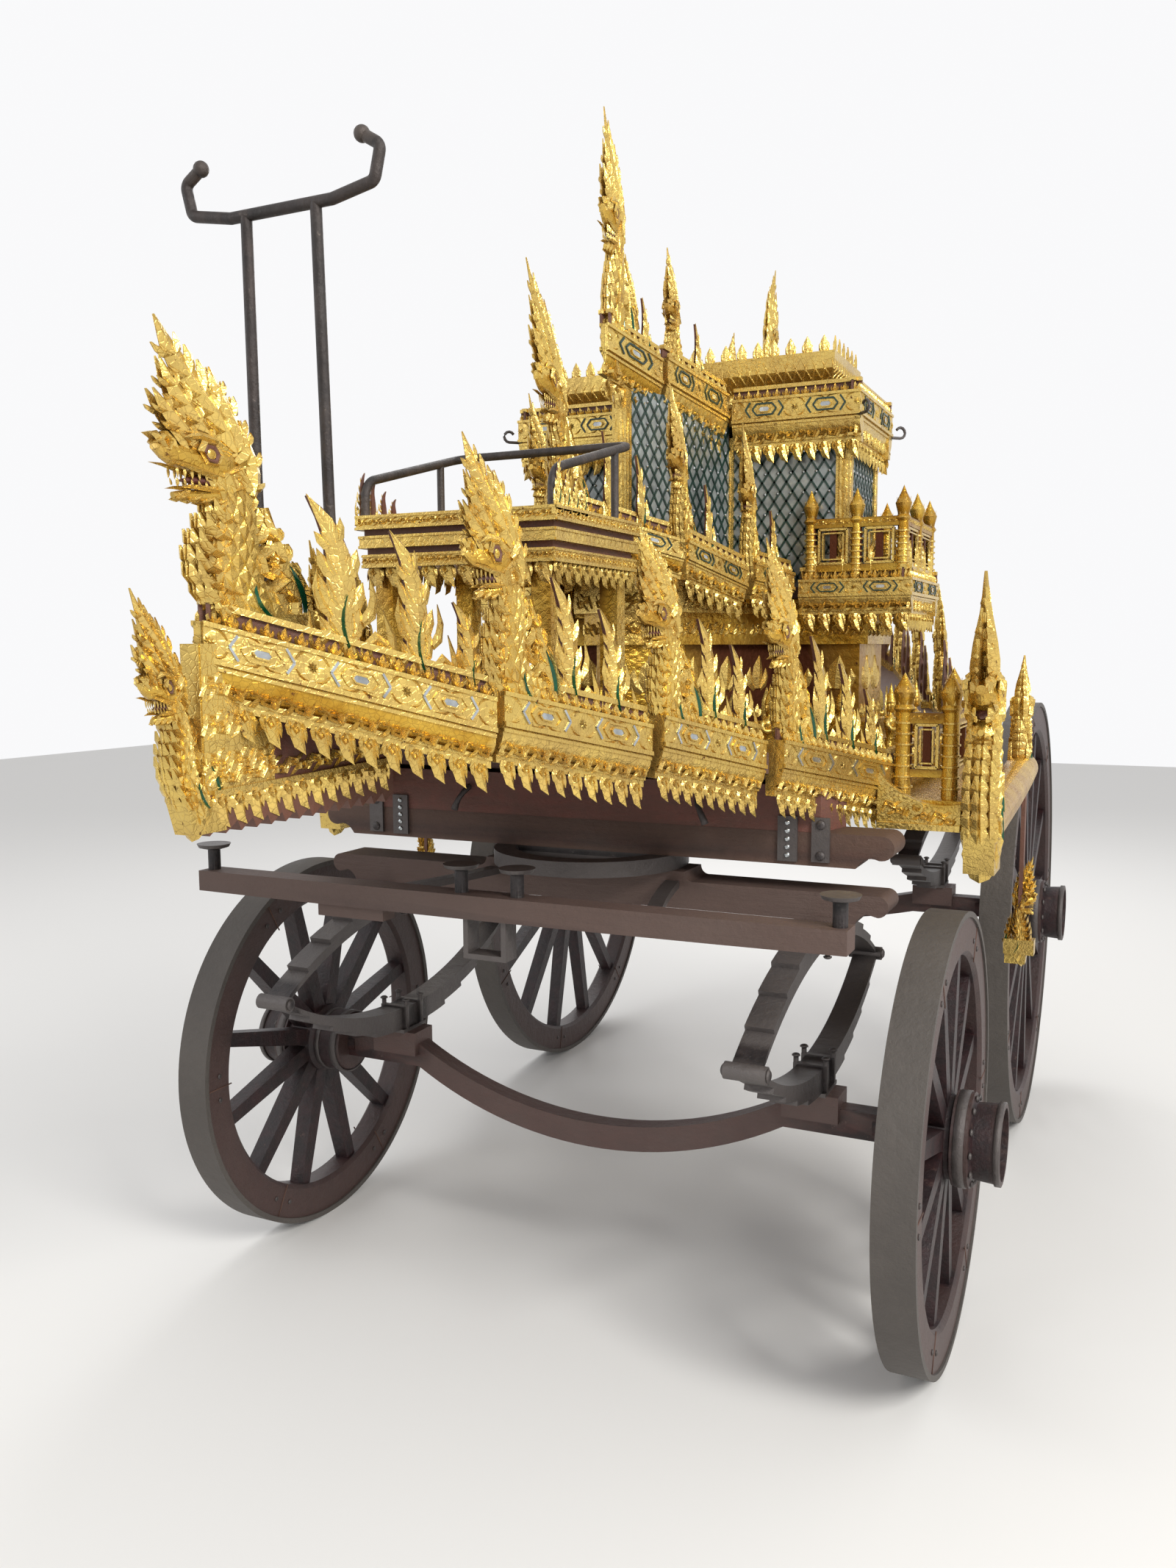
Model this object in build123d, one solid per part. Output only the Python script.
from build123d import *
import math
import os

# Ceremonial carriage, in millimetres. X points to the carriage's own left, the front faces -Y,
# +Z is up. The origin is on the floor, under the middle of the wheelbase.

# Half the size of a cutting block that reaches past everything
FAR = 3000

# Running gear
WHEELBASE = 1560
FRONT_AXLE_Y = -WHEELBASE / 2
REAR_AXLE_Y = WHEELBASE / 2
TRACK_HALF = 835
FRONT_RADIUS = 491
REAR_RADIUS = 685
FRONT_SPOKES = 12
REAR_SPOKES = 14
RIM_WIDTH = 84
TYRE_THICK = 13
FELLOE_DEPTH = 84
FELLOE_WIDTH = 74
FELLOE_CHAMFER = 10
SPOKE_ROOT = (44, 50)
SPOKE_TIP = (34, 40)
HUB_INNER_REACH = 118
HUB_OUTER_REACH = 138
HUB_RADIUS = 102
HUB_DRUM_RADIUS = 80
HUB_CUP_RADIUS = 86
HUB_CUP_WALL = 9
HUB_CUP_DEPTH = 62
ARM_RADIUS = 30
RUN_CLEARANCE = 0.05
HUB_END_PLAY = 0.5
LINCH_THICK = 12
LINCH_RADIUS = 46
SPOKE_TENON = 12

# Axle beams
AXLE_DEPTH = 50
AXLE_THICK = 62
FRONT_AXLE_DROP = 133
REAR_AXLE_DROP = 60
PAD_X = 558
PAD_LENGTH = 130
PAD_RISE = 62
PAD_DEPTH = 84

# Springs
SPRING_HALF = 512
SPRING_WIDTH = 60
LEAF_THICK = 11
LEAVES = 5
EYE_RADIUS = 17
EYE_HALF = 42
LEAF_STEP = 0.17
CLAMP_Y = 34
CLAMP_LENGTH = 14
CLAMP_REACH = 9
PLATE_HALF = 52
PLATE_THICK = 9

# Front truck timber and iron
BOLSTER_HALF = 727
BOLSTER_BOTTOM = 954
BOLSTER_TOP = 1018
BOLSTER_DEPTH = 112
BOLSTER_RAISE = 22
RING_RADIUS = 236
RING_WIDTH = 52
RING_THICK = 18
KING_PIN_RADIUS = 22
RING_PLATE_DEPTH = 68
BAR_Y = -1278
BAR_HALF = 750
BAR_DEPTH = 62
BAR_BOTTOM = 998
BAR_TOP = 1048
POST_X = (-730, -66, 66, 730)
POST_RADIUS = 14
POST_HEIGHT = 60
POST_HEAD_RADIUS = 38
POST_HEAD_THICK = 8
BRACKET_INNER = 78
BRACKET_DROP = 84
BRACKET_THICK = 11
BRACKET_DEPTH = 46
ARM_X_FRONT = 330
ARM_X_REAR = 215
ARM_WIDTH = 34
ARM_THICK = 16

# Body timber
BEAM_HALF = 738
BEAM_DEPTH = 120
BEAM_BOTTOM = BOLSTER_TOP + BOLSTER_RAISE + 2 * RING_THICK
BEAM_LOWER_HEIGHT = 74
BEAM_TOP = 1300
STRAP_TOP = 1184
SILL_X = 470
SILL_WIDTH = 86
STRAP_THICK = 7
STRAP_WIDTH = 40
STRAP_INSET = 158
PLATE_WIDTH = 44
PLATE_INSET = 232
BEAM_END = 96

# Hull: frieze corners of one quarter, from the nose back to the straight side
NOSE_HALF = 9
SKIRT_HEIGHT = 118
SKIRT_THICK = 46
MID_GAP = 0.3
FRIEZE_HEIGHT = 54
# columns: x and y where a panel starts, its top there, x and y where it ends, its top there
LOWER_PANELS = [
    (NOSE_HALF, -2090, 1592, 255, -1686, 1471),
    (266, -1680, 1482, 385, -1331, 1409),
    (405, -1322, 1427, 505, -1004, 1359),
    (540, -995, 1362, 680, -560, 1279),
]
SIDE_X = 680
SIDE_Y = 558
SIDE_START = 545
BAND_HALF = 760
SIDE_TOP = 1279
DECK_DROP = 26
KEEL_FRONT = -2110
KEEL_REAR = -1640
KEEL_LOW = 1286
KEEL_THICK = 34
KEEL_TEETH = 14
DECK_THICK = 44
DECK_INSET = 26

# Wings with their gunwales
WING_FRONT = -612
WING_REAR = 196
WING_X = 841
WING_TOP = 1205
WING_THICK = 30
WING_BOARD = 22
GUNWALE_RADIUS = 44
# columns: place along, foot below or above the wing's top, facing, height, spread, thickness
SIDE_NAGAS = [
    (WING_FRONT + 6, -98, -1, 606, 300, 84),
    (WING_REAR - 44, 10, 1, 312, 170, 60),
]
PENDANT_Y = -76
PENDANT_DROP = 440
PENDANT_HEIGHT = 262
PENDANT_SPREAD = 150
PENDANT_THICK = 40
PENDANT_FOOT = (76, 40)
PENDANT_STRAP = (10, 32, 330)

# Upper tier
UPPER_SKIRT = 92
UPPER_THICK = 36
# columns as in LOWER_PANELS
UPPER_PANELS = [
    (NOSE_HALF, -930, 1872, 196, -672, 1806),
    (204, -664, 1806, 272, -418, 1750),
    (288, -402, 1767, 336, -214, 1748),
]
UPPER_X = 640
UPPER_Y = 205
UPPER_TOP = 1730
UPPER_DECK_THICK = 30
UPPER_DROP = 16
UPPER_FRIEZE = 42

# Balustrades
LOWER_POST_TOP = 1494
LOWER_RAIL_LOW = 1253
LOWER_RAIL_HIGH = 1401
LOWER_POST_RADIUS = 19
UPPER_POST_TOP = 1966
UPPER_RAIL_LOW = 1750
UPPER_RAIL_HIGH = 1888
UPPER_POST_RADIUS = 14
RAIL_TENON = 6
BAR_PITCH = 110
# columns: x and y of the posts of one side, from the front to the rear
LOWER_RAIL_PLAN = [(700, -566), (806, -566), (806, -200), (806, 150), (700, 150)]
UPPER_RAIL_PLAN = [
    (372, -187), (494, -187), (614, -187), (614, 0), (614, 187), (494, 187), (372, 187),
]

# Base between the tiers
# columns: x and y of one quarter's plan
BASE_PLAN = [(0, -640), (150, -560), (250, -300), (290, -160), (540, -160)]
# columns: inset, bottom, top
BASE_STEPS = [(0, 1240, 1300), (18, 1300, 1352), (44, 1352, 1560), (20, 1560, 1640), (0, 1640, 1900)]

# Cabin
WALL_THICK = 24
CABIN_X = 450
CABIN_Y = 150
CABIN_NOSE_Y = -590
# columns: x and y of the side posts of one quarter's V
CABIN_V = [(62, -404), (128, -150)]
POST_SIZE = 38

# Roof
ROOF_SKIRT = 128
ROOF_THICK = 44
# columns as in LOWER_PANELS
ROOF_PANELS = [
    (NOSE_HALF, -696, 2319, 60, -470, 2276),
    (70, -462, 2282, 146, -206, 2228),
]
ROOF_X = 500
ROOF_Y = 205
ROOF_TOP = 2212
ROOF_FRIEZE = 58
ROOF_DROP = 30
ROOF_BOARD = 30
SOFFIT_DROP = 120
CROWN_X = 418
CROWN_Y = 150
CROWN_WAIST = 34
CROWN_SWELL = 2286
CROWN_TOP = 2330

# Bench
BENCH_HALF = 222
BENCH_FRONT = -1400
BENCH_BACK = -1000
BENCH_TOP = 1812
BENCH_THICK = 100
BENCH_LEG = 40
BENCH_LEG_INSET = 46
# columns: inset, and how far below the top a step starts and ends
BENCH_STEPS = [(0, 0, 26), (12, 26, 38), (4, 38, 62), (16, 62, 74), (8, 74, BENCH_THICK)]
RAIL_RADIUS = 9
RAIL_FRONT_TOP = 1880
RAIL_BACK_TOP = 1975
RAIL_INSET = 14
RAIL_SOCKET = 20
RAIL_BEND = 42
RAIL_STAY_Y = 90
STAY_RADIUS = 8

# Pole frame behind the prow
FRAME_Y = -1880
FRAME_HALF = 66
FRAME_HEIGHT = 2215
FRAME_ARM = 182
FRAME_RADIUS = 9
FRAME_CURL = 82

# Carved boards
NAGA_THICK = 44
FLAME_THICK = 26
BED_DEPTH = 46
BOARD_SINK = 22
BOARD_LEAN = 0.12
UPPER_NAGA_THICK = 40
UPPER_FLAME_THICK = 22
PROW_THICK = 52
# depth of the great naga's root, ahead and behind
PROW_ROOT = (46, 126)
PROW_FOOT_Y = -1990
PROW_FOOT_Z = 1588
PROW_HEIGHT = 410
PROW_SPREAD = 520
PROW_LEAN = 0.16
KEEL_NAGA_Y = -2118
KEEL_NAGA_Z = 1322
KEEL_NAGA_HEIGHT = 311
KEEL_NAGA_SPREAD = 190
KEEL_NAGA_THICK = 46
KEEL_NAGA_LEAN = 0.2
# columns: place across, place along, top it stands on, height, spread, lean forward per height
UPPER_NAGAS = [
    (0, -880, 1862, 500, 330, 0.27),
    (182, -640, 1801, 365, 220, 0.14),
    (264, -372, 1762, 345, 190, 0.10),
]
UPPER_FLAMES = [
    (66, -800, 1842, 200, 130, 0.1),
    (118, -736, 1824, 170, 110, 0.1),
    (212, -530, 1776, 170, 110, 0.1),
    (300, -280, 1754, 150, 100, 0.1),
]
ROOF_NAGAS = [
    (0, -622, 2310, 500, 300, 0.03),
    (58, -390, 2266, 290, 170, 0.05),
]
ROOF_FLAMES = [
    (30, -500, 2284, 130, 90, 0.1),
    (96, -300, 2250, 140, 90, 0.1),
]

# Figures
FIGURE_HEIGHT = 205
PLINTH = (68, 60)
LAP = (62, 54)
WAIST = (36, 30)
SHOULDERS = (56, 32)
HEAD = (25, 27)
HANDS = (12, 22)
# columns: x, y and turn of the figures of one quarter
FIGURE_ROW = [
    (590, -62, 90),
    (590, -176, 90),
    (470, -222, 0),
    (356, -240, 30),
    (318, -364, 68),
    (270, -486, 68),
]


def box(x0, x1, y0, y1, z0, z1):
    """A block between two corners."""
    solid = Box(x1 - x0, y1 - y0, z1 - z0, align=(Align.MIN, Align.MIN, Align.MIN))
    return Pos(x0, y0, z0) * solid


def rod(start, end, radius):
    """A round rod from one point to another."""
    a, b = Vector(*start), Vector(*end)
    plane = Plane(origin=a, z_dir=b - a)
    return Solid.make_cylinder(radius, (b - a).length, plane)


def bent_rod(points, radius, bend):
    """A round rod along straight runs joined by tangent arcs."""
    path = FilletPolyline(*points, radius=bend)
    start = Vector(*points[0])
    plane = Plane(origin=start, z_dir=Vector(*points[1]) - start)
    return sweep(plane * Circle(radius), path=path)


def outline_prism(points, z0, z1):
    """An upright prism over a plan outline."""
    face = make_face(Polyline(*points, close=True))
    return Pos(0, 0, z0) * extrude(face, z1 - z0)


def side_board(edges, y, depth):
    """A board whose outline lies in the XZ plane, centred on y."""
    face = Plane.XZ * make_face(Curve() + edges)
    return Pos(0, y + depth / 2, 0) * extrude(face, depth)


def turned(profile, origin, axis_dir, x_dir=(0, 0, 1)):
    """A turned piece: profile rows are (radius, place along the axis)."""
    plane = Plane(origin=origin, x_dir=x_dir, z_dir=Vector(*x_dir).cross(Vector(*axis_dir)))
    face = make_face(plane * Polyline(*profile, close=True))
    return revolve(face, Axis(origin, axis_dir))


def save(name, parts):
    """Writes the solids of one node to its file."""
    solids = []
    for item in parts:
        solids += list(item.solids())
    shape = solids[0] if len(solids) == 1 else Compound(children=solids)
    export_step(shape, f"parts/{name}.step")


def wheel(side, axle_y, radius, spokes):
    """A wooden wheel: turned hub, tapered spokes and felloe ring, with its iron tyre apart."""
    centre = Vector(side * TRACK_HALF, axle_y, radius)
    out = (side, 0, 0)
    bore = ARM_RADIUS + RUN_CLEARANCE
    cup_floor = HUB_OUTER_REACH - HUB_CUP_DEPTH
    profile = [
        (bore, -HUB_INNER_REACH),
        (HUB_DRUM_RADIUS - 8, -HUB_INNER_REACH),
        (HUB_DRUM_RADIUS, -HUB_INNER_REACH + 10),
        (HUB_DRUM_RADIUS, -42),
        (HUB_RADIUS - 12, -34),
        (HUB_RADIUS - 12, 34),
        (HUB_RADIUS, 38),
        (HUB_RADIUS, 74),
        (HUB_CUP_RADIUS - 4, 82),
        (HUB_CUP_RADIUS, HUB_OUTER_REACH),
        (HUB_CUP_RADIUS - HUB_CUP_WALL, HUB_OUTER_REACH),
        (HUB_CUP_RADIUS - HUB_CUP_WALL, cup_floor),
        (bore, cup_floor),
    ]
    hub = turned(profile, centre, out)
    felloe_out = radius - TYRE_THICK
    felloe_in = felloe_out - FELLOE_DEPTH
    half = FELLOE_WIDTH / 2
    chamfer = FELLOE_CHAMFER
    ring = [
        (felloe_in, -half + chamfer), (felloe_in + chamfer, -half), (felloe_out, -half),
        (felloe_out, half), (felloe_in + chamfer, half), (felloe_in, half - chamfer),
    ]
    body = hub + turned(ring, centre, out)
    reach = felloe_in + SPOKE_TENON - HUB_RADIUS / 2
    root = Rectangle(*SPOKE_ROOT)
    tip = Pos(0, 0, reach) * Rectangle(*SPOKE_TIP)
    blank = loft([root.face(), tip.face()])
    for k in range(spokes):
        turn = 360.0 / spokes * (k + 0.5)
        place = Pos(*centre) * Rot(turn, 0, 0) * Pos(0, 0, HUB_RADIUS / 2) * Rot(0, 0, 90)
        body = body + place * blank
    half = RIM_WIDTH / 2
    tyre = [(felloe_out, -half), (radius, -half), (radius, half), (felloe_out, half)]
    return body, turned(tyre, centre, out)


def axle(axle_y, height, drop):
    """A cranked axle beam with spring pads and round arms that carry the wheels."""
    inner = TRACK_HALF - HUB_INNER_REACH - HUB_END_PLAY
    pad_in = PAD_X - PAD_LENGTH / 2
    up = AXLE_THICK / 2
    top = [
        Line((-inner, height + up), (-pad_in, height + up)),
        ThreePointArc((-pad_in, height + up), (0, height + up - drop), (pad_in, height + up)),
        Line((pad_in, height + up), (inner, height + up)),
        Line((inner, height + up), (inner, height - up)),
        Line((inner, height - up), (pad_in, height - up)),
        ThreePointArc((pad_in, height - up), (0, height - up - drop), (-pad_in, height - up)),
        Line((-pad_in, height - up), (-inner, height - up)),
        Line((-inner, height - up), (-inner, height + up)),
    ]
    beam = side_board(top, axle_y, AXLE_DEPTH)
    arm_end = TRACK_HALF + HUB_OUTER_REACH - HUB_CUP_DEPTH
    for side in (-1, 1):
        a = (side * (inner - 20), axle_y, height)
        b = (side * (arm_end + HUB_END_PLAY), axle_y, height)
        c = (side * (arm_end + HUB_END_PLAY + LINCH_THICK), axle_y, height)
        beam = beam + rod(a, b, ARM_RADIUS) + rod(b, c, LINCH_RADIUS)
        pad = box(side * PAD_X - PAD_LENGTH / 2, side * PAD_X + PAD_LENGTH / 2,
                  axle_y - PAD_DEPTH / 2, axle_y + PAD_DEPTH / 2, height, height + PAD_RISE)
        beam = beam + pad
    return beam


def leaf(span, radius, thick):
    """The side outline of one spring leaf, its middle at the origin and its ends curving up."""
    half = math.asin(span / radius)
    outer, inner = radius + thick / 2, radius - thick / 2
    def spot(r, a):
        return (r * math.sin(a), radius - r * math.cos(a))
    edges = [
        ThreePointArc(spot(outer, -half), spot(outer, 0), spot(outer, half)),
        Line(spot(outer, half), spot(inner, half)),
        ThreePointArc(spot(inner, half), spot(inner, 0), spot(inner, -half)),
        Line(spot(inner, -half), spot(outer, -half)),
    ]
    return make_face(Curve() + edges)


def spring(x, axle_y, bottom, top):
    """A full elliptic spring: two leaf packs back to back, eye bolts and clamps."""
    mid = (bottom + top) / 2
    stack = LEAF_THICK * LEAVES + PLATE_THICK - 1
    sag = mid - bottom - stack + LEAF_THICK / 2
    radius = (SPRING_HALF ** 2 + sag ** 2) / (2 * sag)
    pack = None
    for k in range(LEAVES):
        span = SPRING_HALF * (1 - LEAF_STEP * k)
        face = Pos(0, -LEAF_THICK * k) * leaf(span, radius + LEAF_THICK * k, LEAF_THICK + 0.4)
        solid = extrude(Plane.YZ * face, SPRING_WIDTH / 2, both=True)
        pack = solid if pack is None else pack + solid
    low = mid - sag
    clamp_half = SPRING_WIDTH / 2 + CLAMP_REACH
    for place in (-CLAMP_Y, CLAMP_Y):
        clamp = box(-clamp_half, clamp_half, place - CLAMP_LENGTH / 2, place + CLAMP_LENGTH / 2,
                    bottom - low, LEAF_THICK)
        pack = pack + clamp
    plate = box(-clamp_half, clamp_half, -PLATE_HALF, PLATE_HALF, bottom - low,
                bottom - low + PLATE_THICK)
    lower = Pos(x, axle_y, low) * (pack + plate)
    upper = Pos(x, axle_y, 2 * mid - low) * mirror(pack + plate, about=Plane.XY)
    whole = lower + upper
    for end in (-1, 1):
        y = axle_y + end * (SPRING_HALF - 4)
        whole = whole + rod((x - EYE_HALF, y, mid), (x + EYE_HALF, y, mid), EYE_RADIUS)
    return whole


def scroll_beam(half, bottom, top, y, depth, hollow):
    """A timber beam whose ends are rounded scrolls, thinned underneath just inside each scroll."""
    r = (top - bottom) * 0.36
    flat = half - 3.1 * r
    knee = half - 2 * r
    base = top - 2 * r
    edges = [
        Line((-half + r, top), (half - r, top)),
        ThreePointArc((half - r, top), (half, top - r), (half - r, base)),
        Line((half - r, base), (knee, base + hollow)),
        ThreePointArc((knee, base + hollow), (flat + 0.6 * r, base), (flat, bottom)),
        Line((flat, bottom), (-flat, bottom)),
        ThreePointArc((-flat, bottom), (-flat - 0.6 * r, base), (-knee, base + hollow)),
        Line((-knee, base + hollow), (-half + r, base)),
        ThreePointArc((-half + r, base), (-half, top - r), (-half + r, top)),
    ]
    return side_board(edges, y, depth)


def front_bolster():
    """The truck's upper timber, raised in the middle under the turntable and bored for the king pin."""
    beam = scroll_beam(BOLSTER_HALF, BOLSTER_BOTTOM, BOLSTER_TOP, FRONT_AXLE_Y, BOLSTER_DEPTH, 6)
    raised = RING_RADIUS + 26
    high = BOLSTER_TOP + BOLSTER_RAISE
    edges = [
        Line((-raised, high), (raised, high)),
        ThreePointArc((raised, high), (raised + 4, high - 14), (raised + 22, BOLSTER_TOP)),
        Line((raised + 22, BOLSTER_TOP), (-raised - 22, BOLSTER_TOP)),
        ThreePointArc((-raised - 22, BOLSTER_TOP), (-raised - 4, high - 14), (-raised, high)),
    ]
    beam = beam + side_board(edges, FRONT_AXLE_Y, BOLSTER_DEPTH)
    hole = rod((0, FRONT_AXLE_Y, BOLSTER_BOTTOM - 1), (0, FRONT_AXLE_Y, high + 1),
               KING_PIN_RADIUS + RUN_CLEARANCE)
    return beam - hole


def turntable_ring(z0):
    """One flat iron ring of the turntable with a cross plate over the king pin."""
    ring = Pos(0, FRONT_AXLE_Y, z0) * extrude(Circle(RING_RADIUS) - Circle(RING_RADIUS - RING_WIDTH),
                                              RING_THICK)
    reach = RING_RADIUS - RING_WIDTH / 2
    plate = box(-reach, reach, FRONT_AXLE_Y - RING_PLATE_DEPTH / 2,
                FRONT_AXLE_Y + RING_PLATE_DEPTH / 2, z0, z0 + RING_THICK)
    return ring + plate


def turntable():
    """The two rings: the lower turns with the truck, the upper carries the king pin."""
    z0 = BOLSTER_TOP + BOLSTER_RAISE
    hole = rod((0, FRONT_AXLE_Y, z0 - 1), (0, FRONT_AXLE_Y, z0 + RING_THICK + 1),
               KING_PIN_RADIUS + RUN_CLEARANCE)
    lower = turntable_ring(z0) - hole
    pin = rod((0, FRONT_AXLE_Y, BOLSTER_BOTTOM - 28), (0, FRONT_AXLE_Y, z0 + RING_THICK + 4),
              KING_PIN_RADIUS)
    upper = turntable_ring(z0 + RING_THICK) + pin
    return lower, upper


def splinter_bar():
    """The bar ahead of the wheels that the traces pull on."""
    edges = [
        Line((-BAR_HALF, BAR_BOTTOM + 4), (-BAR_HALF, BAR_TOP)),
        Line((-BAR_HALF, BAR_TOP), (BAR_HALF, BAR_TOP)),
        Line((BAR_HALF, BAR_TOP), (BAR_HALF, BAR_BOTTOM + 4)),
        ThreePointArc((BAR_HALF, BAR_BOTTOM + 4), (0, BAR_BOTTOM), (-BAR_HALF, BAR_BOTTOM + 4)),
    ]
    return side_board(edges, BAR_Y, BAR_DEPTH)


def trace_posts():
    """Four iron posts with mushroom heads standing on the splinter bar."""
    top = BAR_TOP + POST_HEIGHT
    posts = []
    for x in POST_X:
        profile = [
            (0, 0), (POST_RADIUS, 0), (POST_RADIUS, POST_HEIGHT - POST_HEAD_THICK - 6),
            (POST_HEAD_RADIUS - 4, POST_HEIGHT - POST_HEAD_THICK), (POST_HEAD_RADIUS, POST_HEIGHT),
            (0, POST_HEIGHT),
        ]
        posts.append(turned(profile, Vector(x, BAR_Y, top - POST_HEIGHT), (0, 0, 1), (1, 0, 0)))
    return posts


def pole_bracket():
    """The iron stirrup under the bar that takes the pole's tail."""
    half = BRACKET_INNER / 2
    low = BAR_BOTTOM - BRACKET_DROP
    outer = box(-half - BRACKET_THICK, half + BRACKET_THICK, BAR_Y - BRACKET_DEPTH / 2,
                BAR_Y + BRACKET_DEPTH / 2, low, BAR_BOTTOM)
    inner = box(-half, half, BAR_Y - BRACKET_DEPTH, BAR_Y + BRACKET_DEPTH,
                low + BRACKET_THICK, BAR_BOTTOM + 1)
    return outer - inner


def draught_arms():
    """Two curved iron arms from the bolster's face out to the underside of the bar."""
    arms = []
    front = BAR_Y + BAR_DEPTH / 2
    back = FRONT_AXLE_Y - BOLSTER_DEPTH / 2
    z0 = BAR_TOP - 46
    for side in (-1, 1):
        a = (side * ARM_X_REAR, back)
        b = (side * ARM_X_FRONT, front)
        m = (side * (ARM_X_REAR * 0.35 + ARM_X_FRONT * 0.65 - 26), (a[1] + b[1]) / 2)
        w = side * ARM_WIDTH
        edges = [
            ThreePointArc(a, m, b),
            Line(b, (b[0] + w, front)),
            ThreePointArc((b[0] + w, front), (m[0] + w, m[1]), (a[0] + w, back)),
            Line((a[0] + w, back), a),
        ]
        flat = make_face(Curve() + edges)
        arms.append(Pos(0, 0, z0) * extrude(flat, ARM_THICK))
    return arms


def cross_beam(axle_y):
    """A body cross beam: scrolled lower timber with a plain timber on top."""
    split = BEAM_BOTTOM + BEAM_LOWER_HEIGHT
    lower = scroll_beam(BEAM_HALF, BEAM_BOTTOM, split, axle_y, BEAM_DEPTH, 4)
    upper = box(-BEAM_HALF + BEAM_END, BEAM_HALF - BEAM_END, axle_y - BEAM_DEPTH / 2, axle_y + BEAM_DEPTH / 2,
                split, BEAM_TOP)
    return lower + upper


def beam_straps(axle_y, outer):
    """Iron plates on the outer face and clamp straps on both faces near the ends of a cross beam."""
    straps = []
    for face in (-1, 1):
        y = axle_y + face * (BEAM_DEPTH / 2 + STRAP_THICK / 2)
        y0, y1 = y - STRAP_THICK / 2, y + STRAP_THICK / 2
        for side in (-1, 1):
            plate_x = side * (BEAM_HALF - PLATE_INSET)
            strap_x = side * (BEAM_HALF - STRAP_INSET)
            if face == outer:
                straps.append(box(plate_x - PLATE_WIDTH / 2, plate_x + PLATE_WIDTH / 2, y0, y1,
                                  BEAM_BOTTOM + 8, STRAP_TOP))
            straps.append(box(strap_x - STRAP_WIDTH / 2, strap_x + STRAP_WIDTH / 2, y0, y1,
                              BEAM_BOTTOM + 10, STRAP_TOP))
    return straps


def sill(side):
    """A long timber under the deck that joins the two cross beams."""
    a = FRONT_AXLE_Y + BEAM_DEPTH / 2
    b = REAR_AXLE_Y - BEAM_DEPTH / 2
    low = BEAM_BOTTOM + BEAM_LOWER_HEIGHT - 10
    top = SIDE_TOP - DECK_DROP - DECK_THICK
    return box(side * SILL_X - SILL_WIDTH / 2, side * SILL_X + SILL_WIDTH / 2, a, b, low, top)


def skirt_section(height, thick, frieze):
    """A skirt's section: flat frieze, beads, a curved moulding that steps in, and a bottom lip."""
    s = height / 118.0
    step = thick * 0.62
    edges = [
        Line((-thick, 0), (0, 0)),
        Line((0, 0), (0, -frieze)),
        Line((0, -frieze), (-5, -frieze - 4 * s)),
        ThreePointArc((-5, -frieze - 4 * s), (-9, -frieze - 30 * s), (-step, -height + 18 * s)),
        Line((-step, -height + 18 * s), (-step + 6, -height + 14 * s)),
        Line((-step + 6, -height + 14 * s), (-step + 6, -height)),
        Line((-step + 6, -height), (-thick, -height)),
        Line((-thick, -height), (-thick, 0)),
    ]
    return make_face(Curve() + edges)


def skirt_panel(row, height, thick, frieze, side, end):
    """One skirt panel run along the line between two frieze corners of a quarter."""
    xa, ya, za, xb, yb, zb = row
    start = Vector(side * xa, -end * ya, za)
    run = Vector(side * xb, -end * yb, zb) - start
    out = Vector(side * (yb - ya), end * (xb - xa), 0).normalized()
    plane = Plane(origin=start, x_dir=out, z_dir=out.cross(Vector(0, 0, 1)))
    section = plane * skirt_section(height, thick, frieze)
    panel = Solid.extrude(section.face(), run)
    if xa > thick:
        return panel
    inner, outer = sorted((side * MID_GAP, side * FAR))
    return panel & box(inner, outer, -FAR, FAR, 0, FAR)


def skirts(rows, height, thick, frieze, end):
    """All slanting skirt panels of one end, both sides."""
    return [skirt_panel(row, height, thick, frieze, side, end) for row in rows for side in (-1, 1)]


def boat_plan(rows, inset, stop_y, end):
    """The plan outline inside one end's panels, closed across the middle."""
    right = []
    for xa, ya, za, xb, yb, zb in rows:
        right += [(max(xa - inset, 2), ya + inset * 0.8), (xb - inset, yb)]
    right.append((rows[-1][3] - inset, stop_y))
    left = [(-x, y) for x, y in reversed(right)]
    return [(x, -end * y) for x, y in right + left]


def sloping_deck(rows, drop, thick, inset, stop_y, end, carriers):
    """The sloping floor inside the skirts of one end, cut to the skirts' backs."""
    stations = [(row[1], row[2]) for row in rows] + [(stop_y, rows[-1][5])]
    top = [(y, z - drop) for y, z in stations]
    low = [(y, z - thick) for y, z in reversed(top)]
    face = Plane.YZ * make_face(Polyline(*[(-end * y, z) for y, z in top + low], close=True))
    slab = extrude(face, SIDE_X, both=True)
    plan = outline_prism(boat_plan(rows, inset, stop_y, end), 0, FAR)
    return seated(slab & plan, carriers)


def middle_deck():
    """The level floor between the two ends, inside the side skirts."""
    top = SIDE_TOP - DECK_DROP
    half = SIDE_X - SKIRT_THICK
    return box(-half, half, -SIDE_START, SIDE_START, top - DECK_THICK, top)


def keel_board(end, carriers):
    """The upright board under the prow with its saw-toothed lower edge."""
    pitch = (KEEL_REAR - KEEL_FRONT) / KEEL_TEETH
    points = [(KEEL_REAR, 1500), (KEEL_FRONT + 24, 1560), (KEEL_FRONT + 20, 1400),
              (KEEL_FRONT, KEEL_LOW + 14)]
    for k in range(KEEL_TEETH):
        y = KEEL_FRONT + pitch * k
        points += [(y + pitch * 0.25, KEEL_LOW), (y + pitch, KEEL_LOW + 16)]
    face = Plane.YZ * make_face(Polyline(*[(-end * y, z) for y, z in points], close=True))
    return seated(extrude(face, KEEL_THICK / 2, both=True), carriers)


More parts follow.
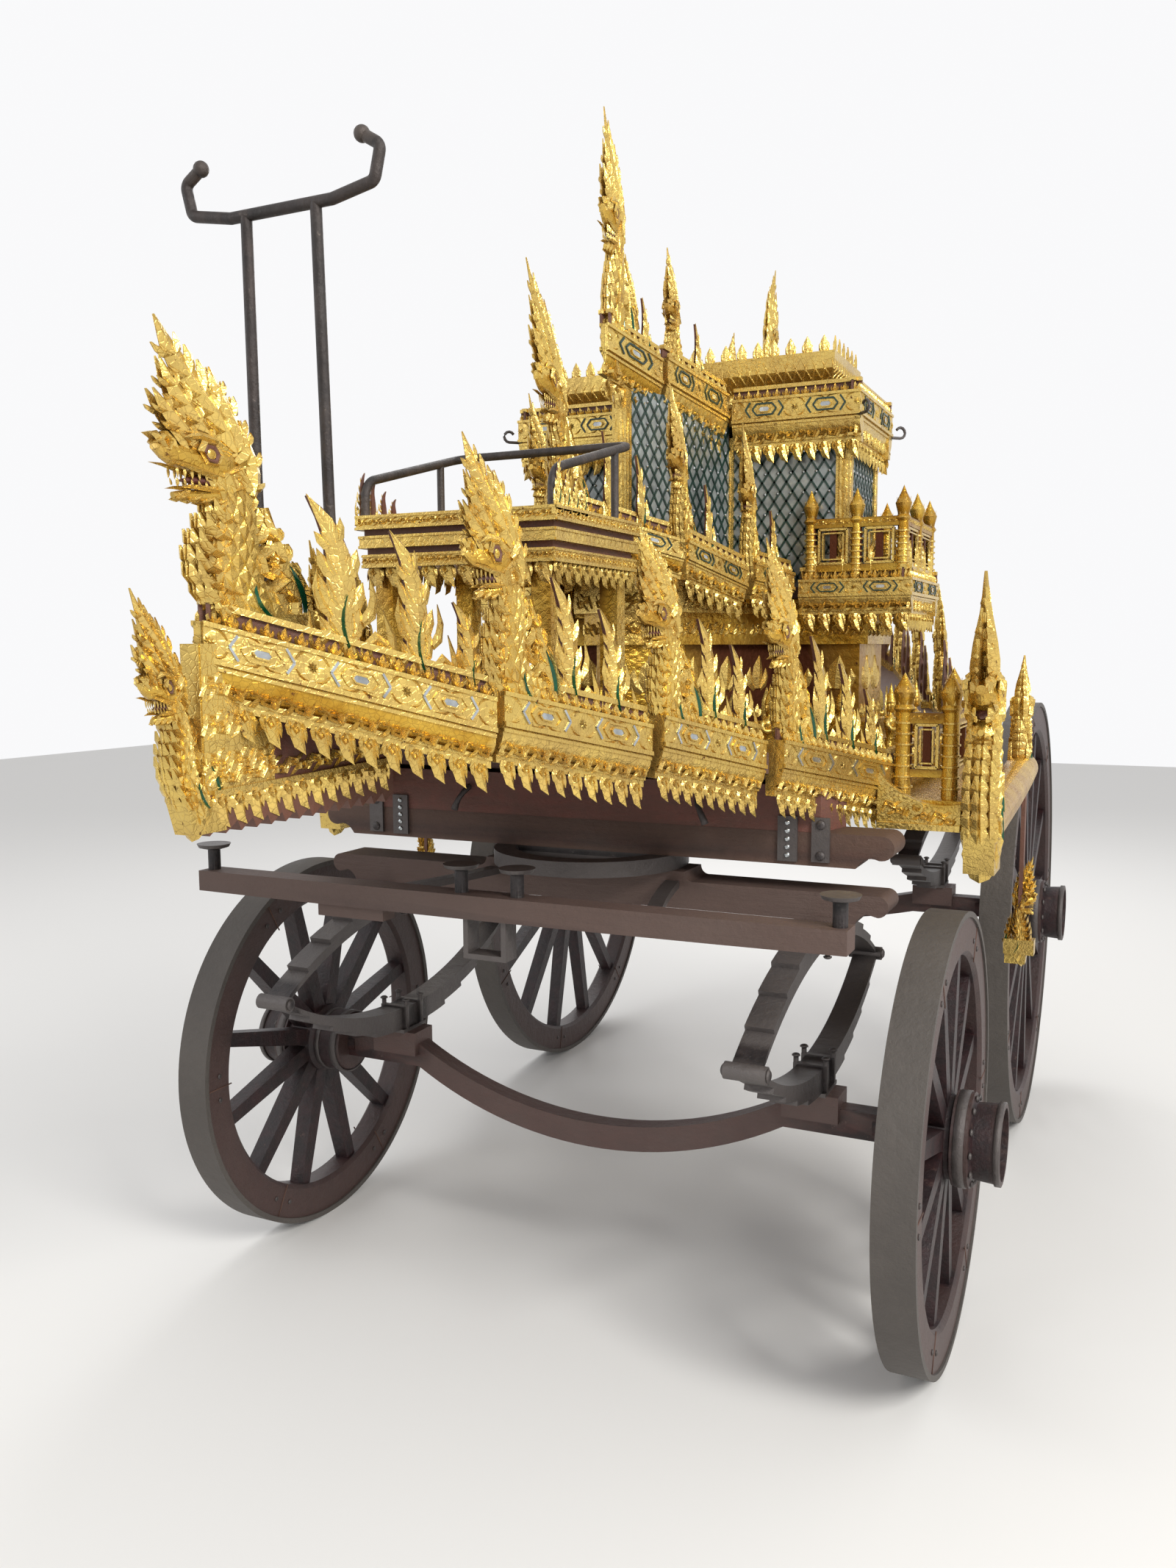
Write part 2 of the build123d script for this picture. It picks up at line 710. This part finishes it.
NAGA_OUTLINE = [
    # columns: kind, then forward and up of the middle (arcs only) and of the end, for height 1
    ("arc", 0.235, 0.16, 0.085, 0.40),
    ("line", 0, 0, 0.235, 0.435),
    ("line", 0, 0, 0.205, 0.475),
    ("line", 0, 0, 0.270, 0.525),
    ("arc", 0.225, 0.60, 0.100, 0.655),
    ("arc", 0.215, 0.80, 0.185, 1.00),
    ("arc", 0.015, 0.83, -0.055, 0.62),
    ("arc", -0.075, 0.45, -0.165, 0.30),
    ("arc", -0.245, 0.14, -0.270, 0.00),
]
NAGA_START = (0.125, 0.0)


def board_from(outline, start, height, spread, lean, root):
    """A closed face from an outline table, scaled, leant forward, its foot deepened by a root."""
    here = (start[0] * spread, start[1] * height)
    first = here
    edges = []
    for kind, mx, my, ex, ey in outline:
        goal = (ex * spread + ey * height * lean, ey * height)
        if kind == "arc":
            middle = (mx * spread + my * height * lean, my * height)
            edges.append(ThreePointArc(here, middle, goal))
        else:
            edges.append(Line(here, goal))
        here = goal
    if root:
        ahead, behind = root
        low_behind = (here[0], here[1] - behind)
        low_ahead = (first[0], first[1] - ahead)
        edges += [Line(here, low_behind), Line(low_behind, low_ahead), Line(low_ahead, first)]
    else:
        edges.append(Line(here, first))
    return make_face(Curve() + edges)


def stood(face, foot, facing, thick):
    """Stands a carved board on its foot, facing a plan direction."""
    ahead = Vector(facing[0], facing[1], 0).normalized()
    plane = Plane(origin=foot, x_dir=ahead, z_dir=ahead.cross(Vector(0, 0, 1)))
    return extrude(plane * face, thick / 2, both=True)


def naga(foot, facing, height, spread, thick, lean=0.0, root=None):
    """A naga: curved chest, open jaws and a tall flame crest, as one thick carved board."""
    face = board_from(NAGA_OUTLINE, NAGA_START, height, spread, lean, root)
    return stood(face, foot, facing, thick)


FLAME_OUTLINE = [
    # columns as in NAGA_OUTLINE
    ("arc", 0.36, 0.26, 0.16, 0.50),
    ("arc", 0.05, 0.74, 0.22, 1.00),
    ("arc", -0.22, 0.74, -0.16, 0.46),
    ("arc", -0.40, 0.26, -0.34, 0.00),
]
FLAME_START = (0.26, 0.0)


def flame(foot, facing, height, spread, thick, lean=0.0):
    """A flame board: a belly at the foot and a hooked tip."""
    face = board_from(FLAME_OUTLINE, FLAME_START, height, spread, lean, None)
    return stood(face, foot, facing, thick)


# Carved boards on the lower skirts of one quarter
# columns: panel number, place along the panel, height, spread
QUARTER_NAGAS = [
    (1, 0.14, 420, 330),
    (2, 0.16, 360, 290),
    (3, 0.14, 420, 270),
]
QUARTER_FLAMES = [
    (0, 0.50, 250, 190),
    (0, 0.76, 235, 150),
    (0, 0.95, 150, 110),
    (1, 0.52, 230, 150),
    (1, 0.82, 200, 130),
    (2, 0.56, 220, 140),
    (2, 0.86, 190, 120),
    (3, 0.42, 250, 150),
    (3, 0.66, 210, 140),
    (3, 0.88, 170, 130),
]


def on_panel(row, share, side, end, inset):
    """A foot point on top of a panel and the panel's forward direction."""
    xa, ya, za, xb, yb, zb = row
    out = Vector(yb - ya, -(xb - xa), 0).normalized()
    x = xa + (xb - xa) * share - out.X * inset
    y = ya + (yb - ya) * share - out.Y * inset
    z = za + (zb - za) * share
    foot = Vector(side * x, -end * y, z)
    facing = (side * (xa - xb), -end * (ya - yb))
    return foot, facing


def quarter_boards(table, maker, thick, end, carriers):
    """Carved boards of one end, both sides, each bedded in its skirt."""
    boards = []
    for panel, share, height, spread in table:
        for side in (-1, 1):
            foot, facing = on_panel(LOWER_PANELS[panel], share, side, end, SKIRT_THICK / 2)
            foot = foot - Vector(0, 0, BOARD_SINK)
            board = maker(foot, facing, height + BOARD_SINK, spread, thick, BOARD_LEAN)
            boards.append(seated(board, carriers))
    return boards


def wing(side):
    """The platform beside the hull between the wheels, with its carved end boards."""
    inner, outer = sorted((side * (SIDE_X - 30), side * WING_X))
    deck = box(inner, outer, WING_FRONT, WING_REAR, WING_TOP - WING_THICK, WING_TOP)
    low = WING_TOP - 56
    a = SIDE_X - 24
    edges = [
        Line((a, low), (WING_X, low)),
        Line((WING_X, low), (WING_X, WING_TOP - 4)),
        ThreePointArc((WING_X, WING_TOP - 4), (a + 62, WING_TOP + 12), (a, WING_TOP + 66)),
        Line((a, WING_TOP + 66), (a, low)),
    ]
    whole = deck
    for y in (WING_FRONT - WING_BOARD / 2 + 1, WING_REAR + WING_BOARD / 2 - 1):
        board = side_board(edges, y, WING_BOARD)
        ledge = box(a, WING_X, y - WING_BOARD / 2 - 8, y + WING_BOARD / 2 + 8, low - 10, low + 4)
        piece = board + ledge
        whole = whole + (piece if side > 0 else mirror(piece, about=Plane.YZ))
    return whole


def gunwale(side):
    """The side naga's smooth body along the outer edge of a wing."""
    x = WING_X + GUNWALE_RADIUS + 0.5
    points = [
        (side * x, WING_FRONT - 8, WING_TOP - 58),
        (side * (x + 2), WING_FRONT + 260, WING_TOP - 34),
        (side * (x + 1), WING_REAR - 20, WING_TOP + 8),
    ]
    return bent_rod(points, GUNWALE_RADIUS, 900)


def side_nagas(side):
    """The tall naga that faces forward on a wing and the lower one that faces back."""
    x = side * (WING_X + GUNWALE_RADIUS - 1)
    whole = gunwale(side)
    for y, up, ahead, height, spread, thick in SIDE_NAGAS:
        whole = whole + naga(Vector(x, y, WING_TOP + up), (0, ahead), height, spread, thick)
    return whole


def pendant(side):
    """The small figure that hangs outside the wing from a strap."""
    x = side * (WING_X + 2 * GUNWALE_RADIUS - 8)
    top = WING_TOP - 22
    low = top - PENDANT_DROP
    thick, width, length = PENDANT_STRAP
    strap = box(x - thick / 2, x + thick / 2, PENDANT_Y - width / 2, PENDANT_Y + width / 2,
                top - length, top + 6)
    body = naga(Vector(x, PENDANT_Y, low), (side, 0), PENDANT_HEIGHT, PENDANT_SPREAD, PENDANT_THICK)
    across, high = PENDANT_FOOT
    foot = box(x - across / 2, x + across / 2, PENDANT_Y - PENDANT_THICK / 2,
               PENDANT_Y + PENDANT_THICK / 2, low, low + high)
    return strap + body + foot


def post(x, y, low, top, radius):
    """A round balustrade post with a lotus bud on a collar."""
    h = top - low
    profile = [
        (0, 0), (radius, 0), (radius, h - 92), (radius + 6, h - 84), (radius, h - 74),
        (radius + 7, h - 46), (radius * 0.5, h - 18), (0, h),
    ]
    return turned(profile, Vector(x, y, low), (0, 0, 1), (1, 0, 0))


def rail_run(a, b, low, top):
    """Rails and a framed panel with slim bars between two posts."""
    start, stop = Vector(a[0], a[1], 0), Vector(b[0], b[1], 0)
    run = stop - start
    mid = (start + stop) * 0.5
    turn = math.degrees(math.atan2(run.Y, run.X))
    half = run.length / 2 - RAIL_TENON
    bars = [box(-half, half, -11, 11, top - 24, top), box(-half, half, -9, 9, low, low + 18)]
    count = max(1, int(run.length / BAR_PITCH))
    for k in range(count):
        s = -half + 2 * half * (k + 0.5) / count
        bars.append(box(s - 9, s + 9, -6, 6, low + 10, top - 16))
    whole = bars[0]
    for bar in bars[1:]:
        whole = whole + bar
    return Pos(mid.X, mid.Y, 0) * Rot(0, 0, turn) * whole


def balustrade(plan, low, top, rail_low, rail_top, radius):
    """A run of posts joined by rails, following plan points."""
    whole = None
    for x, y in plan:
        piece = post(x, y, low, top, radius)
        whole = piece if whole is None else whole + piece
    for a, b in zip(plan[:-1], plan[1:]):
        whole = whole + rail_run(a, b, rail_low, rail_top)
    return whole


def seated(piece, carriers):
    """A piece with what carries it cut away, so that it sits exactly; loose crumbs are dropped."""
    reach = piece.bounding_box()
    for carrier in carriers:
        other = carrier.bounding_box()
        apart_x = other.min.X > reach.max.X or other.max.X < reach.min.X
        apart_y = other.min.Y > reach.max.Y or other.max.Y < reach.min.Y
        apart_z = other.min.Z > reach.max.Z or other.max.Z < reach.min.Z
        if not (apart_x or apart_y or apart_z):
            piece = piece - carrier
    return max(piece.solids(), key=lambda part: part.volume)


def tier_line(rows, drop, stop_y, level):
    """Points (y, z) along a tier's floor from its front tip to its rear tip."""
    front = [(row[1], row[2] - drop) for row in rows]
    last = rows[-1][5] - drop
    if abs(last - level) > 1:
        front.append((stop_y, last))
    front.append((stop_y, level))
    return front + [(-y, z) for y, z in reversed(front)]


def band(low, high):
    """Everything between two floor lines, wide enough for the whole carriage."""
    outline = list(low) + list(reversed(high))
    face = Plane.YZ * make_face(Polyline(*outline, close=True))
    return extrude(face, BAND_HALF, both=True)


def cabin_base():
    """The stepped base between the two tiers, which the rows of figures stand against."""
    low = tier_line(LOWER_PANELS, DECK_DROP, -SIDE_Y, SIDE_TOP - DECK_DROP)
    high = tier_line(UPPER_PANELS, UPPER_DROP + UPPER_DECK_THICK, -UPPER_Y + UPPER_THICK,
                     UPPER_TOP - UPPER_DROP - UPPER_DECK_THICK)
    space = band(low, high)
    whole = None
    for inset, z0, z1 in BASE_STEPS:
        quarter = [(max(x - inset, 0), y + (inset if x < BASE_PLAN[-1][0] else inset * 0.5))
                   for x, y in BASE_PLAN]
        right = quarter + [(x, -y) for x, y in reversed(quarter)]
        left = [(-x, y) for x, y in reversed(right) if x > 0]
        piece = outline_prism(right + left, z0, z1)
        whole = piece if whole is None else whole + piece
    return whole & space


def cabin_space():
    """The height between the upper floor and the roof's soffit."""
    low = tier_line(UPPER_PANELS, UPPER_DROP, -UPPER_Y + UPPER_THICK, UPPER_TOP - UPPER_DROP)
    high = tier_line(ROOF_PANELS, SOFFIT_DROP, -ROOF_Y + ROOF_THICK, ROOF_TOP - SOFFIT_DROP)
    return band(low, high)


def cabin_corners():
    """Plan points of the posts of one quarter."""
    return [(0, CABIN_NOSE_Y)] + CABIN_V + [(CABIN_X, -CABIN_Y)]


def cabin_posts(space):
    """Square posts at every corner of the cabin, cut to the floor and the soffit."""
    posts = []
    half = POST_SIZE / 2
    for end in (-1, 1):
        for x, y in cabin_corners():
            for side in ((-1, 1) if x > half else (1,)):
                block = box(side * x - half, side * x + half, -end * y - half, -end * y + half,
                            UPPER_TOP - UPPER_SKIRT, ROOF_TOP)
                posts.append(block & space)
    return posts


def cabin_panels(space, posts):
    """The lattice walls, each a flat panel between two posts as thick as the whole wall."""
    panels = []
    low, high = UPPER_TOP - UPPER_SKIRT, ROOF_TOP
    corners = cabin_corners()
    for end in (-1, 1):
        for side in (-1, 1):
            for (xa, ya), (xb, yb) in zip(corners[:-1], corners[1:]):
                a = Vector(side * xa, -end * ya, low)
                run = Vector(side * xb, -end * yb, low) - a
                shift = POST_SIZE * 0.4
                along = run.normalized()
                plane = Plane(origin=a + along * shift, x_dir=along, z_dir=(0, 0, 1))
                wall = plane * Box(run.length - 2 * shift, WALL_THICK, high - low,
                                   align=(Align.MIN, Align.CENTER, Align.MIN))
                panels.append(seated(wall & space, posts))
    for side in (-1, 1):
        wall = box(side * CABIN_X - WALL_THICK / 2, side * CABIN_X + WALL_THICK / 2,
                   -CABIN_Y, CABIN_Y, low, high)
        panels.append(seated(wall & space, posts))
    return panels


def tier_rows(half_x, half_y, rows, top, thick):
    """Level panels round a middle block: across its front, then half along its side."""
    inner_x = rows[-1][3] + 8
    return [
        (inner_x, -half_y, top, half_x, -half_y, top),
        (half_x, -half_y + thick + MID_GAP, top, half_x, -MID_GAP, top),
    ]


def tier_skirts(half_x, half_y, rows, top, height, thick, frieze):
    """Every skirt panel of a tier: slanting ones at both ends and level ones in the middle."""
    panels = []
    for end in (-1, 1):
        panels += skirts(rows, height, thick, frieze, end)
        panels += skirts(tier_rows(half_x, half_y, rows, top, thick), height, thick, frieze, end)
    return panels


def tier_floor(half_x, half_y, rows, top, drop, thick, wall, carriers):
    """One floor board of an upper tier: a level middle and a sloping V at both ends."""
    z1 = top - drop
    whole = box(-half_x + wall, half_x - wall, -half_y + wall, half_y - wall, z1 - thick, z1)
    for end in (-1, 1):
        whole = whole + sloping_deck(rows, drop, thick, wall * 0.6, -half_y + wall, end, carriers)
    return whole


def crown():
    """The lotus crown on the roof, which swells towards its top."""
    low = ROOF_TOP - ROOF_DROP
    foot = box(-CROWN_X + CROWN_WAIST, CROWN_X - CROWN_WAIST, -CROWN_Y + CROWN_WAIST,
               CROWN_Y - CROWN_WAIST, low, ROOF_TOP + CROWN_WAIST)
    a = Pos(0, 0, ROOF_TOP + CROWN_WAIST) * Rectangle(2 * (CROWN_X - CROWN_WAIST),
                                                      2 * (CROWN_Y - CROWN_WAIST))
    b = Pos(0, 0, CROWN_SWELL) * Rectangle(2 * CROWN_X, 2 * CROWN_Y)
    swell = loft([a.face(), b.face()])
    head = box(-CROWN_X, CROWN_X, -CROWN_Y, CROWN_Y, CROWN_SWELL, CROWN_TOP)
    return foot + swell + head


def bench(carriers):
    """The driver's bench: a moulded slab with sockets for its rail, on legs on the sloping floor."""
    whole = None
    for inset, a, b in BENCH_STEPS:
        slab = box(-BENCH_HALF + inset, BENCH_HALF - inset, BENCH_FRONT + inset,
                   BENCH_BACK - inset, BENCH_TOP - b, BENCH_TOP - a)
        whole = slab if whole is None else whole + slab
    half = BENCH_LEG / 2
    for side in (-1, 1):
        for y in (BENCH_FRONT + BENCH_LEG_INSET, BENCH_BACK - BENCH_LEG_INSET):
            x = side * (BENCH_HALF - BENCH_LEG_INSET)
            leg = box(x - half, x + half, y - half, y + half, SIDE_TOP, BENCH_TOP - BENCH_THICK)
            whole = whole + seated(leg, carriers)
    for x, y, radius in rail_feet():
        low = BENCH_TOP - RAIL_SOCKET
        whole = whole - rod((x, y, low), (x, y, BENCH_TOP + 1), radius + RUN_CLEARANCE)
    return whole


def rail_feet():
    """Where the rail's four feet stand in the bench: x, y and radius."""
    x = BENCH_HALF - RAIL_INSET
    feet = []
    for side in (-1, 1):
        feet.append((side * x, BENCH_FRONT + RAIL_INSET, RAIL_RADIUS))
        feet.append((side * x, BENCH_BACK - RAIL_INSET - RAIL_STAY_Y, STAY_RADIUS))
    return feet


def bench_rail():
    """The bent iron rail round the sides and back of the bench, on two uprights at its front."""
    x = BENCH_HALF - RAIL_INSET
    front = BENCH_FRONT + RAIL_INSET
    back = BENCH_BACK - RAIL_INSET
    low = BENCH_TOP - RAIL_SOCKET
    points = [
        (-x, front, low), (-x, front, RAIL_FRONT_TOP), (-x, back, RAIL_BACK_TOP),
        (x, back, RAIL_BACK_TOP), (x, front, RAIL_FRONT_TOP), (x, front, low),
    ]
    hoop = bent_rod(points, RAIL_RADIUS, RAIL_BEND)
    slope = (RAIL_BACK_TOP - RAIL_FRONT_TOP) / (back - front)
    for foot_x, foot_y, radius in rail_feet():
        if foot_y > front:
            high = RAIL_BACK_TOP - RAIL_STAY_Y * slope - 2
            hoop = hoop + rod((foot_x, foot_y, low), (foot_x, foot_y, high), radius)
    return hoop


def pole_frame(carriers):
    """Two iron uprights behind the prow that carry a crossbar with curled ends."""
    x = FRAME_HALF
    side_rods = None
    for side in (-1, 1):
        piece = bent_rod([(side * x, FRAME_Y + 24, 1440), (side * (x + 3), FRAME_Y + 8, 1780),
                          (side * x, FRAME_Y, FRAME_HEIGHT)], FRAME_RADIUS, 700)
        piece = seated(piece, carriers)
        side_rods = piece if side_rods is None else side_rods + piece
    arm = FRAME_ARM
    z = FRAME_HEIGHT
    points = [
        (-arm + 30, FRAME_Y, z + FRAME_CURL), (-arm - 2, FRAME_Y, z + 62), (-arm + 10, FRAME_Y, z + 14),
        (-x - 30, FRAME_Y, z), (x + 30, FRAME_Y, z), (arm - 10, FRAME_Y, z + 14),
        (arm + 2, FRAME_Y, z + 62), (arm - 30, FRAME_Y, z + FRAME_CURL),
    ]
    return side_rods + bent_rod(points, FRAME_RADIUS, 13)


def figure(x, y, low, turn):
    """A small praying deity on a plinth, hands together, with a pointed crown."""
    h = FIGURE_HEIGHT
    plinth = Pos(0, 0, h * 0.06) * Box(*PLINTH, h * 0.12)
    lap = loft([(Pos(0, 0, h * 0.12) * Rectangle(*LAP)).face(),
                (Pos(0, 0, h * 0.34) * Rectangle(*WAIST)).face()])
    chest = loft([(Pos(0, 0, h * 0.34) * Rectangle(*WAIST)).face(),
                  (Pos(0, 0, h * 0.58) * Rectangle(*SHOULDERS)).face()])
    hands = Pos(0, -20, h * 0.48) * Box(*HANDS, h * 0.16)
    head = Pos(0, 0, h * 0.68) * Box(*HEAD, h * 0.20)
    spire = loft([(Pos(0, 0, h * 0.78) * Rectangle(HEAD[0], HEAD[0])).face(),
                  (Pos(0, 0, h) * Rectangle(3, 3)).face()])
    whole = plinth + lap + chest + hands + head + spire
    return Pos(x, y, low) * Rot(0, 0, turn) * whole


def figures():
    """Rows of deities on the lower floor, all round the base, each facing outwards."""
    out = []
    low = SIDE_TOP - DECK_DROP
    for x, y, turn in FIGURE_ROW:
        for side in (-1, 1):
            for end in (-1, 1):
                flip = turn if end < 0 else 180 - turn
                out.append(figure(side * x, -end * y, low, flip * side))
    return out


def placed(table, maker, thick, carriers):
    """Carved boards at both ends from a table of places, each bedded in what carries it."""
    boards = []
    for x, y, z, height, spread, lean in table:
        for end in (-1, 1):
            for side in ((-1, 1) if x > 0 else (1,)):
                foot = Vector(side * x, -end * y, z - BED_DEPTH)
                board = maker(foot, (0, end), height + BED_DEPTH, spread, thick, lean)
                boards.append(seated(board, carriers))
    return boards


def prow_naga(end, carriers):
    """The great naga at the tip of the prow, its root cut to the sheer of the skirts."""
    foot = Vector(0, -end * PROW_FOOT_Y, PROW_FOOT_Z)
    head = naga(foot, (0, end), PROW_HEIGHT, PROW_SPREAD, PROW_THICK, PROW_LEAN, PROW_ROOT)
    return seated(head, carriers)


def keel_naga(end, carriers):
    """The smaller naga that rises from the keel in front of the prow's tip."""
    foot = Vector(0, -end * KEEL_NAGA_Y, KEEL_NAGA_Z)
    head = naga(foot, (0, end), KEEL_NAGA_HEIGHT, KEEL_NAGA_SPREAD, KEEL_NAGA_THICK, KEEL_NAGA_LEAN)
    return seated(head, carriers)


def main():
    """Builds every node and writes it to its file."""
    os.makedirs("parts", exist_ok=True)
    for name, side, y, radius, spokes in WHEELS:
        body, tyre = wheel(side, y, radius, spokes)
        save(f"wheel_{name}", [body])
        save(f"tyre_{name}", [tyre])

    save("front_axle", [axle(FRONT_AXLE_Y, FRONT_RADIUS, FRONT_AXLE_DROP)])
    save("rear_axle", [axle(REAR_AXLE_Y, REAR_RADIUS, REAR_AXLE_DROP)])
    save("front_springs", [spring(side * PAD_X, FRONT_AXLE_Y, FRONT_RADIUS + PAD_RISE,
                                  BOLSTER_BOTTOM) for side in (-1, 1)])
    save("rear_springs", [spring(side * PAD_X, REAR_AXLE_Y, REAR_RADIUS + PAD_RISE,
                                 BEAM_BOTTOM) for side in (-1, 1)])
    save("front_bolster", [front_bolster()])
    lower_ring, upper_ring = turntable()
    save("turntable_lower", [lower_ring])
    save("turntable_upper", [upper_ring])
    save("splinter_bar", [splinter_bar()])
    save("bar_irons", trace_posts() + [pole_bracket()] + draught_arms())

    hull = []
    for end in (-1, 1):
        hull += skirts(LOWER_PANELS, SKIRT_HEIGHT, SKIRT_THICK, FRIEZE_HEIGHT, end)
    side_row = [(SIDE_X, -SIDE_START, SIDE_TOP, SIDE_X, -MID_GAP, SIDE_TOP)]
    for end in (-1, 1):
        hull += skirts(side_row, SKIRT_HEIGHT, SKIRT_THICK, FRIEZE_HEIGHT, end)
    save("lower_skirts", hull)
    floors = []
    for name, end in ENDS:
        floor = sloping_deck(LOWER_PANELS, DECK_DROP, DECK_THICK, DECK_INSET, -SIDE_Y, end, hull)
        save(f"deck_{name}", [floor])
        floors.append(floor)
    middle = middle_deck()
    save("deck_middle", [middle])
    floors.append(middle)
    carriers = hull + floors

    save("cross_beams", [seated(cross_beam(y), carriers) for y in (FRONT_AXLE_Y, REAR_AXLE_Y)])
    save("beam_straps", beam_straps(FRONT_AXLE_Y, -1) + beam_straps(REAR_AXLE_Y, 1))
    save("side_sills", [sill(-1), sill(1)])
    keels = [keel_board(end, carriers) for end in (-1, 1)]
    save("keel_boards", keels)

    wings = [seated(wing(side), hull) for side in (-1, 1)]
    save("wings", wings)
    riders = [side_nagas(side) for side in (-1, 1)]
    save("side_nagas", riders)
    save("wing_pendants", [seated(pendant(side), riders) for side in (-1, 1)])
    rails = []
    for side in (-1, 1):
        plan = [(side * x, y) for x, y in LOWER_RAIL_PLAN]
        rails.append(balustrade(plan, WING_TOP, LOWER_POST_TOP, LOWER_RAIL_LOW, LOWER_RAIL_HIGH,
                                LOWER_POST_RADIUS))
    save("lower_balustrades", rails)

    save("prow_nagas", [prow_naga(end, carriers + keels) for end in (-1, 1)]
         + [keel_naga(end, hull + keels) for end in (-1, 1)])
    boards = []
    for end in (-1, 1):
        boards += quarter_boards(QUARTER_NAGAS, naga, NAGA_THICK, end, hull)
        boards += quarter_boards(QUARTER_FLAMES, flame, FLAME_THICK, end, hull)
    save("hull_nagas", boards)
    save("figures", figures())
    save("bench", [bench(floors)])
    save("bench_rail", [bench_rail()])
    save("pole_frame", [pole_frame(floors)])

    upper = tier_skirts(UPPER_X, UPPER_Y, UPPER_PANELS, UPPER_TOP, UPPER_SKIRT, UPPER_THICK,
                        UPPER_FRIEZE)
    save("upper_skirts", upper)
    upper_floor = tier_floor(UPPER_X, UPPER_Y, UPPER_PANELS, UPPER_TOP, UPPER_DROP,
                             UPPER_DECK_THICK, UPPER_THICK, upper)
    save("upper_deck", [upper_floor])
    save("cabin_base", [cabin_base()])
    save("upper_nagas", placed(UPPER_NAGAS, naga, UPPER_NAGA_THICK, upper + [upper_floor])
         + placed(UPPER_FLAMES, flame, UPPER_FLAME_THICK, upper + [upper_floor]))
    rails = []
    for side in (-1, 1):
        plan = [(side * x, y) for x, y in UPPER_RAIL_PLAN]
        rails.append(balustrade(plan, UPPER_TOP, UPPER_POST_TOP, UPPER_RAIL_LOW,
                                UPPER_RAIL_HIGH, UPPER_POST_RADIUS))
    save("upper_balustrades", rails)

    roof = tier_skirts(ROOF_X, ROOF_Y, ROOF_PANELS, ROOF_TOP, ROOF_SKIRT, ROOF_THICK, ROOF_FRIEZE)
    space = cabin_space()
    posts = [seated(block, roof) for block in cabin_posts(space)]
    save("cabin_posts", posts)
    save("cabin_panels", [seated(wall, roof) for wall in cabin_panels(space, posts)])
    save("roof_skirts", roof)
    top_board = tier_floor(ROOF_X, ROOF_Y, ROOF_PANELS, ROOF_TOP, ROOF_DROP, ROOF_BOARD,
                           ROOF_THICK, roof)
    soffit = tier_floor(ROOF_X, ROOF_Y, ROOF_PANELS, ROOF_TOP, SOFFIT_DROP - ROOF_BOARD,
                        ROOF_BOARD, ROOF_THICK, roof)
    save("roof_deck", [top_board + crown(), soffit])
    save("roof_nagas", placed(ROOF_NAGAS, naga, UPPER_NAGA_THICK, roof + [top_board])
         + placed(ROOF_FLAMES, flame, UPPER_FLAME_THICK, roof + [top_board]))


ENDS = [("front", -1), ("rear", 1)]
# columns: name, side, axle place, radius, spokes
WHEELS = [
    ("front_right", -1, FRONT_AXLE_Y, FRONT_RADIUS, FRONT_SPOKES),
    ("front_left", 1, FRONT_AXLE_Y, FRONT_RADIUS, FRONT_SPOKES),
    ("rear_right", -1, REAR_AXLE_Y, REAR_RADIUS, REAR_SPOKES),
    ("rear_left", 1, REAR_AXLE_Y, REAR_RADIUS, REAR_SPOKES),
]

if __name__ == "__main__":
    main()
